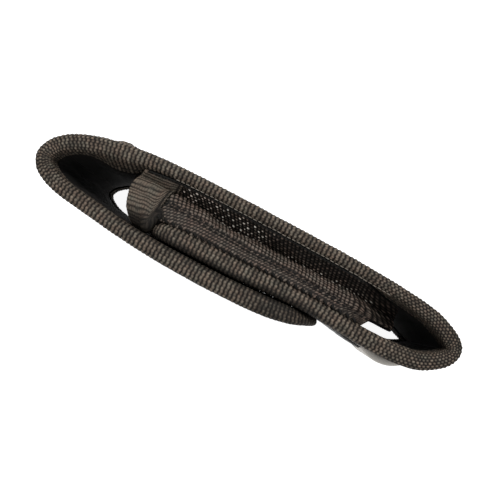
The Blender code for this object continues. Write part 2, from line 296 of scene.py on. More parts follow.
def loft(name, rings, data=None):
    """One closed solid through rings of points, shaped (rings, points, 3), facing outwards."""
    rows, count = rings.shape[:2]
    faces = ring_faces(rows, count)
    corner = rings.reshape(-1, 3)
    quads = np.array(faces[:-2])
    a, b, c, d = (corner[quads[:, n]] for n in range(4))
    volume = np.einsum("ij,ij->", np.cross(a, b), c) + np.einsum("ij,ij->", np.cross(a, c), d)
    if volume < 0:
        faces = [f[::-1] for f in faces]
    return mesh_piece(name, rings, faces, data)


def slab(name, s, z, upper, lower, height=None):
    """A layer of the band between two depths. s is (n,), z and the depths are (n, m)."""
    top = at(s[:, None], z, upper)
    bottom = at(s[:, None], z, lower)
    rings = np.concatenate([top, bottom[:, ::-1]], axis=1)
    height = np.zeros_like(z) if height is None else height
    flat = np.stack([np.broadcast_to(s[:, None], z.shape), z, height], axis=-1)
    under = np.stack([flat[..., 0], z, np.zeros_like(z)], axis=-1)
    return loft(name, rings, np.concatenate([flat, under[:, ::-1]], axis=1))


# ---------------------------------------------------------------- materials


class Shader:
    """A procedural material, with short ways to add its nodes."""

    def __init__(self, name):
        self.material = bpy.data.materials.new(name)
        self.material.use_nodes = True
        self.nodes = self.material.node_tree.nodes
        self.links = self.material.node_tree.links
        self.main = self.nodes["Principled BSDF"]

    def add(self, kind, inputs=(), **settings):
        """A new node. An input is given as a value or as the socket that feeds it."""
        node = self.nodes.new(kind)
        for key, value in settings.items():
            setattr(node, key, value)
        for key, value in dict(inputs).items():
            if isinstance(value, bpy.types.NodeSocket):
                self.links.new(value, node.inputs[key])
            else:
                node.inputs[key].default_value = value
        return node

    def math(self, operation, a, b=0.5, c=0.5):
        node = self.add("ShaderNodeMath", {0: a, 1: b, 2: c}, operation=operation)
        return node.outputs[0]

    def cloth(self):
        """The distance along, the distance across and the height of the weave, from the mesh."""
        node = self.add("ShaderNodeAttribute", attribute_name="cloth")
        split = self.add("ShaderNodeSeparateXYZ", {0: node.outputs["Vector"]})
        return node.outputs["Vector"], split.outputs[0], split.outputs[1], split.outputs[2]

    def noise(self, vector, scale, detail=4.0, rough=0.6):
        node = self.add(
            "ShaderNodeTexNoise",
            {"Vector": vector, "Scale": scale, "Detail": detail, "Roughness": rough},
        )
        return node.outputs["Fac"]

    def ramp(self, value, stops):
        node = self.add("ShaderNodeValToRGB", {0: value})
        band = node.color_ramp
        while len(band.elements) < len(stops):
            band.elements.new(0.5)
        for element, (place, colour) in zip(band.elements, stops):
            element.position = place
            element.color = (*colour, 1.0)
        return node.outputs["Color"]

    def mix(self, blend, factor, a, b):
        node = self.add("ShaderNodeMix", data_type="RGBA", blend_type=blend)
        for index, value in ((0, factor), (6, a), (7, b)):
            if isinstance(value, bpy.types.NodeSocket):
                self.links.new(value, node.inputs[index])
            elif index == 0:
                node.inputs[index].default_value = value
            else:
                node.inputs[index].default_value = (*value, 1.0)
        return node.outputs[2]

    def bump(self, height, strength, distance, after=None):
        inputs = {"Height": height, "Strength": strength, "Distance": distance}
        if after is not None:
            inputs["Normal"] = after
        return self.add("ShaderNodeBump", inputs).outputs["Normal"]

    def finish(self, colour=None, roughness=None, normal=None, **fixed):
        """Sets the surface's own inputs; fixed ones are named with _ for each space."""
        for key, value in (("Base Color", colour), ("Roughness", roughness), ("Normal", normal)):
            if isinstance(value, bpy.types.NodeSocket):
                self.links.new(value, self.main.inputs[key])
            elif value is not None:
                self.main.inputs[key].default_value = value
        for key, value in fixed.items():
            self.main.inputs[key.replace("_", " ")].default_value = value
        return self.material


def yarn_material(name, dark, mid, light, gloss, painted_highlight=None, shine=0.22):
    """Woven yarns whose relief is in the mesh: dark between them as painted shade, and paler on
    their tops, partly wear and partly painted light.

    Heights run from 0 to 1, and up to 1.6 where a pale painted highlight stands for a glossy yarn
    catching the light.
    """
    m = Shader(name)
    vector, _, _, height = m.cloth()
    coarse = m.noise(vector, 0.11, 3.0)
    fine = m.noise(vector, 2.2, 3.0, 0.7)
    fibres = m.add("ShaderNodeVectorMath", {0: vector, 1: (2.0, 9.0, 1.0)}, operation="MULTIPLY")
    strands = m.noise(fibres.outputs[0], 1.0, 2.0, 0.5)
    level = m.math("MULTIPLY_ADD", m.math("SUBTRACT", fine, 0.5), 0.5, height)
    level = m.math("MULTIPLY_ADD", m.math("SUBTRACT", strands, 0.5), 0.35, level)
    level = m.math("MULTIPLY_ADD", m.math("SUBTRACT", coarse, 0.5), 0.3, level)
    stops = [(0.12, dark), (0.32, mid), (0.62, light), (0.85, painted_highlight or light)]
    colour = m.ramp(m.math("MULTIPLY", level, 0.625), stops)
    tint = m.ramp(m.noise(vector, 0.35, 2.0), [(0.35, (1.0, 0.9, 0.84)), (0.65, (0.88, 0.93, 0.9))])
    colour = m.mix("MULTIPLY", 1.0, colour, tint)
    rough = m.math("MULTIPLY_ADD", strands, 0.3, gloss)
    normal = m.bump(strands, 0.5, 0.0001)
    normal = m.bump(fine, 0.25, 0.00015, normal)
    return m.finish(colour, rough, normal, Specular_IOR_Level=shine)


def weave_material(name, dark, light, yarn, gloss, depth, wear):
    """A plain weave in the shader, for cloth whose yarns are finer than the mesh."""
    m = Shader(name)
    vector, run, cross, _ = m.cloth()
    u = m.math("MULTIPLY", run, math.pi / yarn[0])
    v = m.math("MULTIPLY", cross, math.pi / yarn[1])
    su, sv = m.math("SINE", u), m.math("SINE", v)
    cu, cv = m.math("COSINE", u), m.math("COSINE", v)
    over = m.math("ABSOLUTE", m.math("MULTIPLY", su, sv))
    under = m.math("ABSOLUTE", m.math("MULTIPLY", cu, cv))
    relief = m.math("MAXIMUM", over, under)
    fine = m.noise(vector, 3.0, 3.0, 0.7)
    coarse = m.noise(vector, 0.09, 3.0)
    level = m.math("MULTIPLY_ADD", m.math("SUBTRACT", fine, 0.5), 0.5, relief)
    level = m.math("MULTIPLY_ADD", m.math("SUBTRACT", coarse, 0.5), wear, level)
    colour = m.ramp(level, [(0.3, dark), (0.98, light)])
    rough = m.math("MULTIPLY_ADD", fine, 0.25, gloss)
    normal = m.bump(level, 0.9, depth)
    return m.finish(
        colour, rough, normal, Sheen_Weight=0.1, Sheen_Roughness=0.5, Specular_IOR_Level=0.2
    )


def pile_material(name, dark, light, size):
    """The fuzz of a hook-and-loop patch."""
    m = Shader(name)
    vector, _, _, height = m.cloth()
    fine = m.noise(vector, size, 4.0, 0.8)
    level = m.math("ADD", m.math("MULTIPLY", height, 0.6), m.math("MULTIPLY", fine, 0.5))
    colour = m.ramp(level, [(0.2, dark), (0.9, light)])
    normal = m.bump(fine, 1.0, 0.0003)
    return m.finish(colour, 0.75, normal, Sheen_Weight=0.4, Sheen_Roughness=0.4)


def plain_material(name, dark, light, gloss, grain, depth, shine=0.35):
    """A smooth cloth with a faint grain and soft spots."""
    m = Shader(name)
    vector, _, _, height = m.cloth()
    fine = m.noise(vector, grain, 4.0, 0.6)
    coarse = m.noise(vector, 0.2, 3.0)
    level = m.math("MULTIPLY_ADD", coarse, 0.4, m.math("MULTIPLY", fine, 0.6))
    level = m.math("ADD", level, m.math("MULTIPLY", m.math("SUBTRACT", height, 0.5), 0.2))
    colour = m.ramp(level, [(0.3, dark), (0.7, light)])
    rough = m.math("MULTIPLY_ADD", fine, 0.2, gloss)
    return m.finish(colour, rough, m.bump(fine, 0.6, depth), Specular_IOR_Level=shine)


# ---------------------------------------------------------------- the edge tape

RIB = 1.33
SAMPLES_PER_RIB = 6
FLANGE = 8.2
FLANGE_ROWS = 8
SPINE_ROWS = 8
CORNER = 1.75
BEAD = 0.26
STITCH_INSET = 1.7


def section_at(wide, share):
    """A tape's rounded spine at a share of the way round it: reach, depth and outward direction."""
    radius = np.minimum(CORNER, wide / 2 - 0.05)
    arc = radius * math.pi / 2
    flat = wide - 2 * radius
    way = share * (2 * arc + flat)
    first = np.clip(way / radius, 0.0, math.pi / 2)
    last = np.clip((way - arc - flat) / radius, 0.0, math.pi / 2)
    across = np.clip(way - arc, 0.0, flat)
    late = way > arc + flat
    reach = np.where(late, radius * (1 - np.cos(last)), radius * (1 - np.sin(first)))
    depth = radius * (1 - np.cos(first)) + across + radius * np.sin(last)
    out_reach = np.where(late, -np.cos(last), -np.sin(first))
    out_depth = np.where(late, np.sin(last), -np.cos(first))
    return reach, depth, out_reach, out_depth


def beads(u, v, offset, split):
    """Heights from 0 to 1 of brick-laid yarn beads: u counts ribs, v counts rows."""
    row = np.floor(v + 1e-6)
    u = u + offset * (row % 2) + 0.1 * swell(u, v, 2.6, 1.5)
    column = np.floor(u + 1e-6)
    a = np.sin(np.pi * np.clip(u - column, 0.0, 1.0))
    b = np.sin(np.pi * np.clip(v - row, 0.0, 1.0))
    size = 0.78 + 0.4 * scatter(column, row)
    return np.clip(size * a**0.85 * (1 - split + split * b**0.8), 0.0, 1.2)


def tape(name, side, start, end):
    """Ribbed tape folded over the band's edge from q start to q end."""
    ribs = max(1, round((end - start) / RIB))
    q = np.linspace(start, end, ribs * SAMPLES_PER_RIB + 1)[:, None]
    u = (q - start) / (end - start) * ribs
    s, _, _, _ = edge_place(q, side)
    wide = thickness(s)
    # the ribs look checked where the tape is pulled round the crown and the closed bottom
    checked = 0.35 * hill(s, CROWN - 34.0, CROWN - 16.0, CROWN + 6.0, CROWN + 22.0)
    checked = checked + hill(s, BOTTOM - 34.0, BOTTOM - 10.0, BOTTOM + 18.0, BOTTOM + 44.0)
    offset = 0.13 + 0.37 * checked
    split = 0.24 + 0.5 * checked

    outer = np.linspace(0.0, 1.0, FLANGE_ROWS * 3 + 1)[None, :-1]
    spine = np.linspace(0.0, 1.0, SPINE_ROWS * 4 + 1)[None, :]
    inner = np.linspace(0.0, 1.0, FLANGE_ROWS * 3 + 1)[None, 1:]
    radius = np.minimum(CORNER, wide / 2 - 0.05)
    ones = np.ones_like(q)
    flat = np.zeros_like(outer * ones)
    reach, depth, out_r, out_d = section_at(wide * np.ones_like(spine), spine * ones)
    inner_edge = radius + (inner_flange(s) - CORNER)
    parts = [
        (FLANGE - outer * (FLANGE - radius), flat, flat, flat - 1.0),
        (reach, depth, out_r, out_d),
        (radius + inner * (inner_edge - radius), flat + wide, flat, flat + 1.0),
    ]
    reach, depth, out_r, out_d = (np.concatenate(c, axis=1) for c in zip(*parts))
    rows = (
        outer * FLANGE_ROWS,
        FLANGE_ROWS + spine * SPINE_ROWS,
        FLANGE_ROWS + SPINE_ROWS + inner * FLANGE_ROWS,
    )
    v = np.concatenate(rows, axis=1)
    high = beads(u * np.ones_like(v), v * ones, offset, split)
    thin = ramp(wide, 1.4, 4.2)
    size = BEAD * (0.35 + 0.65 * thin) * np.where(np.abs(out_r) > 0.05, 1.0, 0.75)
    stitched = np.where(depth > wide / 2, inner_flange(s), FLANGE) - STITCH_INSET
    sink = 0.22 * mark(reach, stitched, 0.6) * (np.abs(out_r) < 0.05)
    high = high * (1 - 0.32 * ramp(s, LENGTH - 34.0, LENGTH - 10.0))
    # where flap and front face each other the yarns are painted darker, as shade in the gap between
    # them
    painted_gap_shade = 0.6 * ramp(s, CROWN + 18.0, CROWN + 40.0) * ramp(depth, wide - 1.5, wide - 0.3)
    on_front = 1 - ramp(s, along("front", 22.0), along("front", 34.0))
    painted_gap_shade = np.maximum(painted_gap_shade, on_front * (1 - ramp(depth, 0.5, 2.6)))
    high = high * (1 - 0.5 * painted_gap_shade)
    lift = size * (high - 0.7) - sink + 0.05 * swell(q, v, 4.0)
    reach = reach + out_r * lift
    depth = depth + out_d * lift
    s, z, in_s, in_z = edge_place(q, side)
    place = s + in_s * reach
    late = ramp(depth, 0.6 * wide, wide)
    open_out = flare(s, z) * np.clip(reach / FLANGE, 0.0, 1.0) * late
    shift = np.where(depth > wide / 2, thickness(np.clip(place, 0, LENGTH)) - wide, 0.0)
    outside = at(place, z + in_z * reach, depth + shift + open_out)

    # the tape's underside, coarse because the pad hides it
    core = np.linspace(0.0, 1.0, 5)[None, :]
    r2, d2, _, _ = section_at((wide - 2 * TAPE) * np.ones_like(core), core * ones)
    r2, d2 = r2 + TAPE, d2 + TAPE
    under_r = np.concatenate([inner_edge, r2[:, ::-1], FLANGE * ones], axis=1)
    under_d = np.concatenate([wide - TAPE, d2[:, ::-1], TAPE * ones], axis=1)
    place = s + in_s * under_r
    shift = np.where(under_d > wide / 2, thickness(np.clip(place, 0, LENGTH)) - wide, 0.0)
    inside = at(place, z + in_z * under_r, under_d + shift)

    rings = np.concatenate([outside, inside], axis=1)
    data = np.zeros(rings.shape)
    data[..., 0] = q
    data[:, : v.shape[1], 1] = v
    data[:, : v.shape[1], 2] = high
    return loft(name, rings, data)


# ---------------------------------------------------------------- stitches


def dashes(name, routes, length=2.9, gap=0.75, radius=0.17):
    """Sewing thread: a short raised dash for each stitch along each route.

    A route is (start, end, place), and place(q, a, b) gives the points at the distance q along
    it, a to its side and b above the cloth.
    """
    points, faces = [], []
    turn = np.linspace(0.0, 2 * math.pi, 7)[:-1][None, None, :]
    way = np.array([0.0, 0.12, 0.35, 0.65, 0.88, 1.0])[None, :, None]
    arch = np.array([-0.24, 0.0, 0.1, 0.1, 0.0, -0.24])[None, :, None]
    thick = np.array([0.4, 0.9, 1.0, 1.0, 0.9, 0.4])[None, :, None] * radius
    base = 0
    for start, end, place in routes:
        count = max(1, int((end - start) / (length + gap)))
        first = start + (np.arange(count) + 0.5) * (end - start) / count - length / 2
        jitter = (scatter(np.arange(count), 3.0) - 0.5) * 0.16
        q = first[:, None, None] + way * length + 0 * turn
        a = thick * np.cos(turn) + jitter[:, None, None]
        b = thick * np.sin(turn) * 0.8 + arch
        made = place(q, a + 0 * q, b + 0 * q)
        for n in range(count):
            faces += ring_faces(6, 6, base + n * 36)
        points.append(made.reshape(-1, 3))
        base += count * 36
    points = np.concatenate(points)
    data = np.zeros_like(points)
    data[:, 0] = np.arange(len(points)) * 0.37
    data[:, 2] = 0.5
    return mesh_piece(name, points, faces, data)


def edge_route(side, start, end, face):
    """A stitch route in from the edge, on the outer or the inner face."""

    def place(q, a, b):
        s, z, in_s, in_z = edge_place(q, side)
        edge = inner_flange(s) if face == "inner" else FLANGE
        reach = edge - STITCH_INSET + a
        raised = flare(s, z) * reach / FLANGE
        s = s + in_s * reach
        wide = thickness(np.clip(s, 0.0, LENGTH))
        depth = -b + 0.05 if face == "outer" else wide + b - 0.05 + raised
        return at(s, z + in_z * reach, depth)

    return start, end, place


# ---------------------------------------------------------------- the padded band


PAD_COLUMNS = 91


def side_margin(s, inset):
    """How far a layer's side edge lies in from the band's, more at the round corners."""
    margin = np.full_like(s, inset)
    for distance, radius in ((s, MOUTH_RADIUS), (LENGTH - s, TIP_RADIUS)):
        rest = np.clip(radius - distance, 0.0, None)
        drawn = radius - np.sqrt(np.maximum((radius - inset) ** 2 - rest**2, 0.0))
        margin = np.where(distance < radius, np.maximum(margin, drawn), margin)
    return margin


def edge_distance(s, z):
    """The distance in from the band's outline, its round corners included."""
    side = np.minimum(z, WIDTH - z)
    found = side.copy()
    for distance, radius in ((s, MOUTH_RADIUS), (LENGTH - s, TIP_RADIUS)):
        corner = (distance < radius) & (side < radius)
        rounded = radius - np.hypot(radius - distance, radius - side)
        found = np.where(corner, rounded, np.minimum(found, distance))
    return found


def pad(name, start, end, puff):
    """The band's outer cloth and lining over its foam, as one closed padded form.

    puff gives how far the outer and the inner cloth stand out at places along and across.
    """
    inset = 1.0
    lead = max(start, inset)
    tail = min(end, LENGTH - inset)
    s = np.linspace(lead, tail, max(6, round((tail - lead) / 0.6)) + 1)
    if start < inset:
        round_in = MOUTH_RADIUS - (MOUTH_RADIUS - inset) * np.sin(np.linspace(1.55, 0.1, 16))
        s = np.unique(np.concatenate([s, round_in]))
    if end > LENGTH - inset:
        round_out = LENGTH - TIP_RADIUS + (TIP_RADIUS - inset) * np.sin(np.linspace(0.1, 1.55, 20))
        s = np.unique(np.concatenate([s, round_out]))
    margin = side_margin(s, inset)[:, None]
    columns = np.linspace(0.0, 1.0, PAD_COLUMNS)[None, :]
    z = margin + (WIDTH - 2 * margin) * columns
    wide = thickness(s)[:, None]
    run = s[:, None] + 0 * z
    distance = edge_distance(run, z)
    free = ramp(distance, FLANGE - 1.2, FLANGE + 1.6)
    edge = inner_flange(run)
    inner_free = ramp(distance, edge - 1.2, edge + 1.6)
    outer_puff, inner_puff = puff(run, z)
    under = np.minimum(TAPE + 0.12, wide / 2 - 0.05)
    outer = under - free * 0.35 - outer_puff * free
    inner = wide - under + inner_free * 0.35 + inner_puff * inner_free
    inner = inner + flare(run, z) * np.clip(distance / FLANGE, 0.0, 1.0)
    wrinkle = 0.12 * swell(run, z, 3.1, 0.4) + 0.07 * swell(run, z, 1.3, 2.0)
    mated = ramp(run, 0.0, 6.0) * (1 - ramp(run, BOTTOM - 40.0, BOTTOM - 30.0))
    outer = outer + free * wrinkle * (1 - 0.6 * mated)
    inner = inner + inner_free * 0.05 * swell(run, z, 3.4, 5.0)
    tuck = np.exp(-((distance - inset) / 0.7)) * 0.5 * np.minimum(wide - 2 * under, 2.0)
    return slab(name, s, z, outer + tuck * 0.5, inner - tuck * 0.5)


SIM_SCALE = 10.0
SIM_ROWS = 118
SIM_COLUMNS = 23
SIM_FRAMES = 20
SIM_PRESSURE = 4.0


def simulate_band():
    """Lets the band's cloth swell under pressure between its bound edges.

    Gives how far the outer and the inner face stand out, in millimetres, on a grid of places
    from the mouth to the flap tip and across.
    """
    s = np.linspace(1.0, LENGTH - 1.0, SIM_ROWS)
    run, cross = np.meshgrid(s, np.linspace(1.0, WIDTH - 1.0, SIM_COLUMNS), indexing="ij")
    wide = thickness(run)
    under = np.minimum(TAPE + 0.12, wide / 2 - 0.05)
    form = slab("band_form", s, cross, under, wide - under)
    form.data.transform(Matrix.Scale(SIM_SCALE, 4))
    held = edge_distance(run, cross) < FLANGE - 0.5
    pins = np.concatenate([held, held[:, ::-1]], axis=1).reshape(-1)
    form.vertex_groups.new(name="held").add(np.nonzero(pins)[0].tolist(), 1.0, "REPLACE")
    settings = form.modifiers.new("swelling", "CLOTH").settings
    settings.vertex_group_mass = "held"
    settings.quality = 6
    settings.use_pressure = True
    settings.uniform_pressure_force = SIM_PRESSURE
    settings.effector_weights.gravity = 0.0
    scene = bpy.context.scene
    for frame in range(1, SIM_FRAMES + 1):
        scene.frame_set(frame)
    swollen = form.evaluated_get(bpy.context.evaluated_depsgraph_get()).data
    places = np.empty(len(swollen.vertices) * 3, np.float32)
    rest = np.empty_like(places)
    swollen.vertices.foreach_get("co", places)
    form.data.vertices.foreach_get("co", rest)
    moved = (places - rest).reshape(SIM_ROWS, 2 * SIM_COLUMNS, 3) / (SIM_SCALE * MM)
    bpy.data.objects.remove(form)
    scene.frame_set(1)
    ahead_x, ahead_y = heading(s)
    sunk = moved[..., 1] * ahead_x[:, None] - moved[..., 0] * ahead_y[:, None]
    return -sunk[:, :SIM_COLUMNS], sunk[:, :SIM_COLUMNS - 1:-1]


def on_grid(grid, run, z):
    """A simulated grid's value at places along and across the band."""
    i = np.clip((run - 1.0) / (LENGTH - 2.0) * (SIM_ROWS - 1), 0, SIM_ROWS - 1.001)
    j = np.clip((z - 1.0) / (WIDTH - 2.0) * (SIM_COLUMNS - 1), 0, SIM_COLUMNS - 1.001)
    a, b = i.astype(int), j.astype(int)
    f, g = i - a, j - b
    low = grid[a, b] * (1 - g) + grid[a, b + 1] * g
    return low * (1 - f) + (grid[a + 1, b] * (1 - g) + grid[a + 1, b + 1] * g) * f


def simulated_puff():
    """The swelling of the outer and inner face, held back where a neighbour is in the way."""
    outer, inner = simulate_band()

    def puff(run, z):
        room = free_room(run)
        found = (np.maximum(on_grid(grid, run, z), 0.0) for grid in (outer, inner))
        return tuple(
            most * np.tanh(rise / np.maximum(most, 0.05)) for most, rise in zip(room, found)
        )

    return puff


def free_room(s):
    """How far the outer and inner cloth may swell at s before they meet a neighbour."""
    back_start, back_end = along("back", 33.0), along("back", -50.0)
    under_loop = hill(s, back_start - 8, back_start + 6, back_end - 4, back_end + 8)
    patch = hill(s, *(along("front", x) for x in (0.6, 2.6, 58.0, 61.5)))
    front = 1 - ramp(s, along("front", 24.0), along("front", 34.0))
    on_back = hill(s, BOTTOM + 5, BOTTOM + 20, CROWN - 20, CROWN - 5)
    outer = 0.95 - 0.85 * under_loop * on_back - 0.24 * np.maximum(front, patch) - 0.5 * patch
    inner = 0.66 * (1 - hill(s, BOTTOM - 26, BOTTOM - 14, BOTTOM + 14, BOTTOM + 26))
    hook = ramp(s, along("flap", 0.4), along("flap", 2.4))
    tip = 1 - ramp(s, LENGTH - 12.0, LENGTH - 3.0)
    outer = outer + 0.75 * ramp(s, CROWN + 4.0, CROWN + 34.0)
    return outer * (0.3 + 0.7 * tip), inner * (1 - 0.9 * hook)


# ---------------------------------------------------------------- the side gussets

GUSSET_TOP_X = -36.8
GUSSET_END_FRONT_X = 38.0
GUSSET_END_BACK_X = 45.0
GUSSET_LENGTH = GUSSET_END_FRONT_X - GUSSET_TOP_X
MOUTH_X = -29.0
GUSSET_CLOTH = 0.7
SEAM_X = (-37.5, -25.0, 0.0, 20.0, 36.0)
SEAM_SHARE = (0.45, 0.52, 0.67, 0.71, 0.77)


def from_edge(below, side):
    """The height z of a place that lies so far in from one of the band's side edges."""
    return WIDTH - below if side == "right" else below


def gusset_lines(x_share, side):
    """The folded gusset's seven guide lines from back to front; x_share runs 0 to 1 along it."""
    back_x = GUSSET_TOP_X + x_share * (GUSSET_END_BACK_X - GUSSET_TOP_X)
    front_x = GUSSET_TOP_X + x_share * GUSSET_LENGTH
    s_table = np.linspace(BOTTOM, CROWN, 3000)
    back_s = np.interp(-back_x, -on_path(s_table, 0), s_table)
    s_table = np.linspace(0.0, BOTTOM, 3000)
    front_s = np.interp(np.maximum(front_x, MOUTH_X), on_path(s_table, 0), s_table)
    top = 1 - ramp(x_share, 0.0, 0.13)
    end = ramp(x_share, 0.86, 1.0)
    beyond = MOUTH_X - front_x
    outside = np.clip(beyond, 0.0, None)
    back = at(back_s, from_edge(1.5 + 10.0 * end**1.5, side), thickness(back_s) + 0.35)
    front = at(front_s, from_edge(1.9 + 2.4 * end**3, side), thickness(front_s) + 0.25)
    front[:, 0] -= outside
    front[:, 1] -= 4.6 * ramp(beyond, -2.2, 1.4)
    front[:, 2] = from_edge(1.9 + 2.4 * end**3 + 3.4 * ramp(beyond, -2.2, 2.4), side)
    fold_share = (0.14 + 0.24 * ramp(x_share, 0.0, 0.4))[:, None]
    fold = back + (front - back) * fold_share
    depth = 2.2 + 6.3 * (0.55 + 0.45 * ramp(x_share, 0.0, 0.3))
    fold[:, 2] = from_edge(depth + 8.0 * end**1.5, side)
    seam_share = np.interp(front_x, SEAM_X, SEAM_SHARE)
    seam = back + (front - back) * seam_share[:, None]
    seam[:, 2] = from_edge(3.0 - 0.6 * top + 2.6 * end**2, side)
    ridge_share = 0.93 - 0.21 * ramp(outside, 0.0, 4.0)
    ridge = back + (front - back) * ridge_share[:, None]
    ridge[:, 2] = from_edge(1.7 + 2.4 * end**3, side)
    steep = back + (fold - back) * 0.5
    middle = fold + (seam - fold) * 0.5
    sunk = 0.55 * depth + 0.45 * 2.5 - 0.9 - 0.8 * top + 9.5 * end**3
    middle[:, 2] = from_edge(sunk, side)
    pushes = (1.4, 0.9, 0.4, 0.1, 0.0, 1.3, 3.8)
    lines = np.stack([back, steep, fold, middle, seam, ridge, front], axis=1)
    lines[:, :, 0] += top[:, None] * np.array(pushes)[None, :]
    # the upper gusset's end runs on past its seam, down into the closed bottom of the pouch
    run_on = ramp(x_share, 0.88, 1.0)[:, None] ** 2 * (side == "right")
    lines[:, :, 0] += run_on * np.array((4.0, 5.5, 7.0, 8.5, 1.0, 0.4, 0.0))[None, :]
    lines[:, 3, 1] -= 1.7 * run_on[:, 0]
    return lines


def resample(points, count):
    """Points evenly spaced along each row of guide points, on a smooth curve, with arc length."""
    rows, knots = points.shape[:2]
    fine = 16
    t = np.linspace(0, knots - 1, (knots - 1) * fine + 1)
    low = np.minimum(t.astype(int), knots - 2)
    f = (t - low)[None, :, None]
    p = [points[:, np.clip(low + n, 0, knots - 1)] for n in (-1, 0, 1, 2)]
    m1, m2 = (p[2] - p[0]) * 0.32, (p[3] - p[1]) * 0.32
    curve = (
        p[1] * (2 * f**3 - 3 * f**2 + 1)
        + m1 * (f**3 - 2 * f**2 + f)
        + p[2] * (3 * f**2 - 2 * f**3)
        + m2 * (f**3 - f**2)
    )
    steps = np.linalg.norm(np.diff(curve, axis=1), axis=2)
    reach = np.concatenate([np.zeros((rows, 1)), np.cumsum(steps, axis=1)], axis=1)
    found = np.empty((rows, count, 3))
    for r in range(rows):
        want = np.linspace(0, reach[r, -1], count)
        for c in range(3):
            found[r, :, c] = np.interp(want, reach[r], curve[r, :, c])
    return found, reach[:, ::fine]


def grid_normals(points):
    """The direction at right angles to the cloth at each point of a grid."""
    along_rows = np.gradient(points, axis=0)
    across = np.gradient(points, axis=1)
    normal = np.cross(along_rows, across)
    return normal / np.maximum(np.linalg.norm(normal, axis=2, keepdims=True), 1e-9)


def sheet_solid(name, points, lift, thick, data):
    """A cloth sheet of some thickness: a grid of points, raised by lift along its normals."""
    normal = grid_normals(points)
    top = points + normal * (thick / 2 + lift)[..., None]
    under = points - normal * (thick / 2)
    rings = np.concatenate([top, under[:, ::-1]], axis=1)
    low = data.copy()
    low[..., 2] = 0.2
    return loft(name, rings, np.concatenate([data, low[:, ::-1]], axis=1))


def make_gusset(side):
    """One side's folded cloth, and the mean length across its folded section."""
    rows, columns = 400, 100
    share = np.linspace(0.0, 1.0, rows)
    points, knots = resample(gusset_lines(share, side), columns)
    run = knots[:, -1:]
    length = GUSSET_LENGTH
    u = np.repeat(share[:, None] * length, columns, axis=1)
    v = np.linspace(0, 1, columns)[None, :] * run
    # the last stretch towards the front is a flat doubled seam, the rest is open coarse weave
    fold_at, seam_at = knots[:, 2:3], knots[:, 4:5]
    doubled = ramp(v, seam_at - 0.15, seam_at + 0.15)
    coarse = coarse_weave(u - 0.35 * v, v, 1.15)
    fine = coarse_weave(u + 0.5 * v, v, 0.95)
    slack = 1 - doubled
    height = coarse * slack + (0.2 + 0.9 * fine) * doubled
    lit = ramp(v, fold_at + 0.6, fold_at + 3.0) * slack * (1 - ramp(u, length - 9.0, length))
    height = np.minimum(height + lit * (0.14 + 0.2 * coarse), 0.95)
    lift = 0.36 * coarse * slack + (0.26 + 0.26 * fine) * doubled
    stitch = mark(v - seam_at, 0.35, 0.27) + mark(v - seam_at, 1.3, 0.27)
    lift = lift - 0.3 * stitch
    height = height * (1 - 0.9 * np.clip(stitch, 0, 1) * (np.sin(u * math.pi / 0.9) > -0.2))
    # the steep side facing the back is painted darker as shade, and pale painted highlights sit on
    # chosen yarn tops where it is pulled tight
    steep = (1 - ramp(v, fold_at - 0.6, fold_at + 2.4)) * slack
    painted_glint_zone = hill(u, 9.0, 13.0, 34.0, 44.0)
    chosen = scatter(np.floor(u / 1.15), np.floor(v / 1.15) + 7.0) > 0.35
    height = height * (1 - 0.25 * steep) + steep * painted_glint_zone * chosen * 1.15 * coarse**3.5
    # more pale painted highlights on chosen yarn tops just before the fold, towards the far end
    painted_fold_glints = mark(v - fold_at, -1.2, 2.6) * hill(u, 38.0, 50.0, length - 6.0, length - 1.0) * slack
    height = height + 0.75 * painted_fold_glints * chosen * coarse**2
    sag = 0.35 * swell(u, v * 1.4, 5.2, 1.0) + 0.18 * swell(u, v, 2.3, 3.0)
    turn = np.hypot((u - 29.0) / 6.0, (v - fold_at - 2.6) / 2.4)
    sag = sag - 0.7 * np.exp(-(turn**2)) + 0.5 * np.exp(-(((turn - 1.6) / 0.45) ** 2))
    edge = ramp(v, 0.0, 2.0) * ramp(run - v, 0.0, 2.0)
    edge = edge * ramp(u, 0.0, 3.0) * ramp(length - u, 0.0, 5.0)
    lift = lift + sag * slack * edge
    fold_end = ramp(u, length - 7.0, length)
    ruck = ramp(v, fold_at + 2.0, fold_at + 5.0)
    lift = lift + 0.6 * fold_end * np.sin(u * 2.6 - 0.07 * (v - 9.0) ** 2) * edge * ruck
    data = np.stack([u, v, height], axis=-1)
    if (grid_normals(points)[..., 2].mean() > 0) != (side == "right"):
        points, lift, data = points[:, ::-1], lift[:, ::-1], data[:, ::-1]
    made = sheet_solid("gusset_cloth_" + side, points, lift, GUSSET_CLOTH, data)
    return made, run.mean()


def coarse_weave(u, v, pitch):
    """Heights of a plain weave whose yarns cross every pitch."""
    a, b = u / pitch, v / pitch
    one = np.abs(np.sin(np.pi * a)) ** 0.8 * np.abs(np.sin(np.pi * b)) ** 0.9
    over = (np.floor(a) + np.floor(b)) % 2
    tall = np.where(over > 0.5, 1.0, 0.78)
    return one * tall * (0.8 + 0.35 * scatter(np.floor(a), np.floor(b)))


